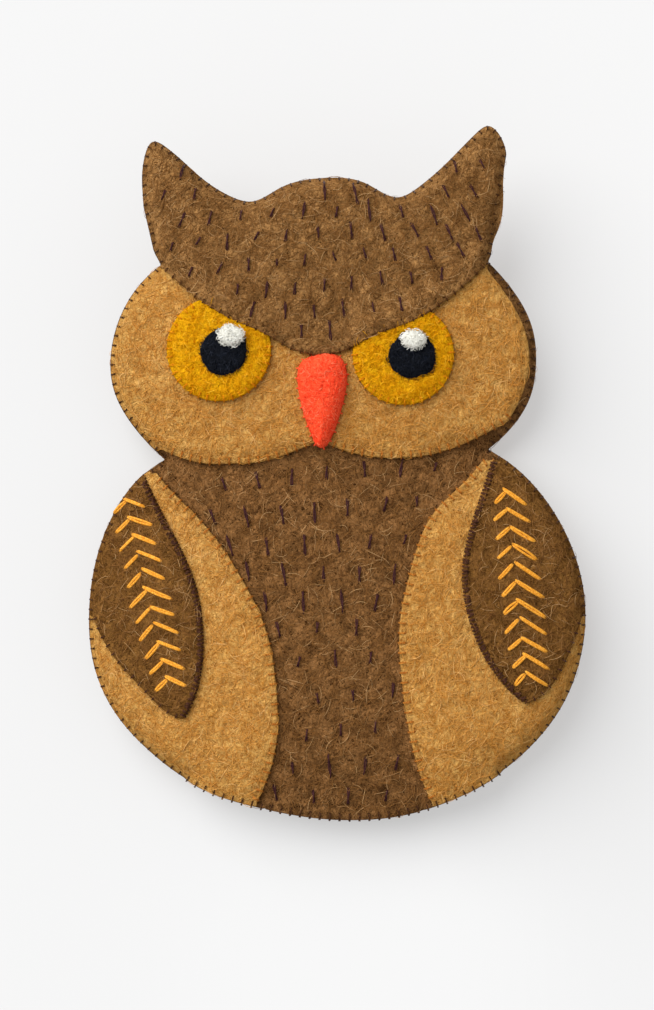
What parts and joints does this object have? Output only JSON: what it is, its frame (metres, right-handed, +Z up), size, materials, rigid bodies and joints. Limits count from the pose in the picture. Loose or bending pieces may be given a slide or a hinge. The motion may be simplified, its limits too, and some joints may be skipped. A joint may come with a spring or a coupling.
{
  "type": "felt hand puppet",
  "caption": "Owl hand puppet of layered wool felt with appliqued face, wings, eyes and stuffed beak; head nods, wings flap and the hand opening spreads.",
  "frame": {"origin": "bottom centre of the bounding box, at the middle of the hem", "axes": "+Z up along the puppet's height, -Y the way the face looks, +X to the right as seen from the front"},
  "size_m": [0.1809, 0.026, 0.25],
  "materials": {
    "brown_felt": "matted wool felt, warm brown",
    "tan_felt": "matted wool felt, caramel tan",
    "yellow_felt": "matted wool felt, egg-yolk yellow",
    "navy_wool": "needle-felted wool, near-black navy",
    "white_wool": "needle-felted wool, off-white, fuzzy",
    "orange_felt": "matted wool felt, orange-red",
    "stuffing": "loose polyester stuffing",
    "plum_thread": "cotton embroidery thread, dark plum-brown",
    "brown_thread": "cotton embroidery thread, dark brown",
    "tan_thread": "cotton embroidery thread, tan",
    "yellow_thread": "cotton embroidery thread, yellow",
    "orange_thread": "cotton embroidery thread, orange-red",
    "gold_thread": "cotton embroidery thread, golden tan"
  },
  "bodies": {
    "torso": {"back_panel_middle": "brown_felt", "front_panel_middle": "brown_felt", "wing_left_inner": "tan_felt", "wing_right_inner": "tan_felt", "chest_seed_stitches": "plum_thread", "front_hem_stitches": "brown_thread", "wing_edge_stitches_left": "tan_thread", "wing_edge_stitches_right": "tan_thread"},
    "head": {"back_panel_head": "brown_felt", "front_panel_head": "brown_felt", "face_panel": "tan_felt", "head_cap": "brown_felt", "iris_left": "yellow_felt", "iris_right": "yellow_felt", "pupil_left": "navy_wool", "pupil_right": "navy_wool", "highlight_left": "white_wool", "highlight_right": "white_wool", "beak_shell": "orange_felt", "beak_stuffing": "stuffing", "cap_seed_stitches": "plum_thread", "head_seam_stitches": "brown_thread", "chin_stitches": "tan_thread", "brow_stitches": "plum_thread", "iris_stitches_left": "yellow_thread", "iris_stitches_right": "yellow_thread", "beak_stitches": "orange_thread"},
    "wing_left": {"back_panel_wing_left": "brown_felt", "front_panel_wing_left": "brown_felt", "wing_left_outer": "tan_felt", "covert_left": "brown_felt", "covert_stitches_left": "brown_thread", "chevron_stitches_left": "gold_thread", "wing_seam_stitches_left": "brown_thread"},
    "wing_right": {"back_panel_wing_right": "brown_felt", "front_panel_wing_right": "brown_felt", "wing_right_outer": "tan_felt", "covert_right": "brown_felt", "covert_stitches_right": "brown_thread", "chevron_stitches_right": "gold_thread", "wing_seam_stitches_right": "brown_thread"},
    "hem_flap": {"back_panel_flap": "brown_felt", "back_hem_stitches": "brown_thread"}
  },
  "joints": [
    {"name": "head_nod", "type": "hinge", "parent": "torso", "child": "head", "pos_m": [0, -0.0031, 0.13], "axis": [1, 0, 0], "range_deg": [-12, 40], "stiffness_Nm_per_rad": 0.03},
    {"name": "wing_left_flap", "type": "hinge", "parent": "torso", "child": "wing_left", "pos_m": [-0.028, -0.01086, 0.003], "axis": [-0.1852, 0, 0.9827], "range_deg": [-8, 45], "stiffness_Nm_per_rad": 0.02},
    {"name": "wing_right_flap", "type": "hinge", "parent": "torso", "child": "wing_right", "pos_m": [0.028, -0.01086, 0.003], "axis": [-0.1852, 0, -0.9827], "range_deg": [-8, 45], "stiffness_Nm_per_rad": 0.02},
    {"name": "hand_opening", "type": "hinge", "parent": "torso", "child": "hem_flap", "pos_m": [0, 0.013, 0.05], "axis": [1, 0, 0], "range_deg": [0, 25], "stiffness_Nm_per_rad": 0.02}
  ]
}
